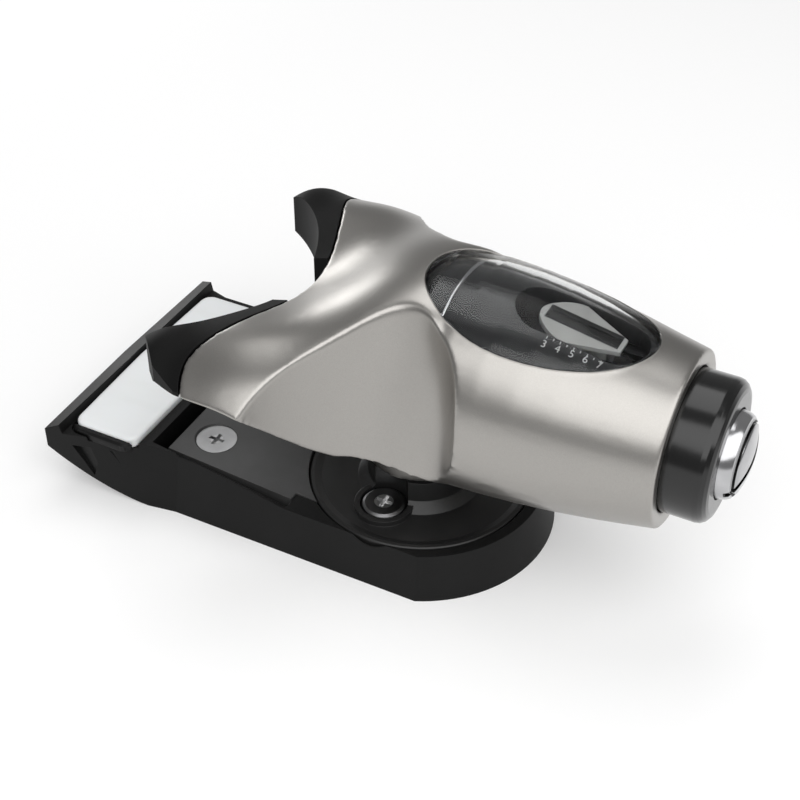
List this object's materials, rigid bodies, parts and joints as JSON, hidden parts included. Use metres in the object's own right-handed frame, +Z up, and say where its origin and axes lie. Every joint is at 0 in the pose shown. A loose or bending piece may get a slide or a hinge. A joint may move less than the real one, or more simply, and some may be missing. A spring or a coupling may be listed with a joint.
{
  "type": "alpine ski binding toe piece",
  "caption": "Single-pivot alpine ski binding toe piece: winged release housing with spring barrel, swivelling on a screwed-down base with a boot sole pad.",
  "frame": {"origin": "centre of the four ski screws on the ski's top face, which is the flat underside of the base carrier", "axes": "+X forward along the ski and the spring barrel, +Y to the left, +Z up from the ski"},
  "size_m": [0.1566, 0.0844, 0.0794],
  "materials": {
    "base_plastic": "matte moulded glass-filled plastic",
    "pad_white": "satin low-friction plastic",
    "plate_dark": "satin dark grey coated steel",
    "disc_dark": "satin black track",
    "screw_zinc": "bright zinc plated",
    "screw_dark": "dark zinc plated",
    "pivot_steel": "turned steel",
    "bronze": "sintered bronze",
    "spring_steel": "oiled spring steel",
    "housing_silver": "satin warm silver",
    "liner_black": "matte black",
    "lens_clear": "clear moulded polycarbonate",
    "drum_dark": "glossy dark grey",
    "pointer_light": "light grey",
    "piston_plastic": "natural acetal",
    "nut_plastic": "dark acetal",
    "chrome": "polished chrome",
    "ring_black": "glossy black",
    "seal_rubber": "black nitrile"
  },
  "bodies": {
    "base": {"base_carrier": "base_plastic", "friction_pad": "pad_white", "mounting_plate": "plate_dark", "swivel_disc": "disc_dark", "rear_mounting_screws": "screw_zinc", "front_mounting_screws": "screw_dark", "pivot_post": "pivot_steel", "pivot_thrust_washer": "bronze", "pivot_circlip": "spring_steel"},
    "housing": {"housing_shell": "housing_silver", "window_lens": "lens_clear", "wing_liner_left": "liner_black", "wing_liner_right": "liner_black", "pivot_bush": "bronze", "spring_drum": "drum_dark", "scale_insert": "drum_dark", "end_ring": "ring_black", "screw_thrust_washer": "bronze", "release_spring": "spring_steel"},
    "piston": {"spring_piston": "piston_plastic"},
    "tension_screw": {"adjusting_screw": "chrome", "screw_circlip": "spring_steel", "screw_seal": "seal_rubber"},
    "tension_nut": {"adjuster_nut": "nut_plastic", "tension_indicator": "pointer_light"}
  },
  "joints": [
    {"name": "housing_swing", "type": "hinge", "parent": "base", "child": "housing", "pos_m": [0.0245, 0, 0.04], "axis": [0, 0, 1], "range_deg": [-30, 30], "stiffness_Nm_per_rad": 12},
    {"name": "tension_screw_turn", "type": "hinge", "parent": "housing", "child": "tension_screw", "pos_m": [0.0845, 0, 0.0435], "axis": [1, 0, 0], "range_deg": [-1080, 1080]},
    {"name": "tension_nut_slide", "type": "slide", "parent": "housing", "child": "tension_nut", "axis": [1, 0, 0], "range_m": [-0.0045, 0.0045], "deforming": ["release_spring"]},
    {"name": "piston_slide", "type": "slide", "parent": "housing", "child": "piston", "axis": [1, 0, 0], "range_m": [0, 0.006], "stiffness_N_per_m": 1500, "springref_m": -0.02, "deforming": ["release_spring"]}
  ],
  "couplings": [
    {"joint": "tension_nut_slide", "follows": "tension_screw_turn", "m_per_rad": 0.00023873}
  ]
}
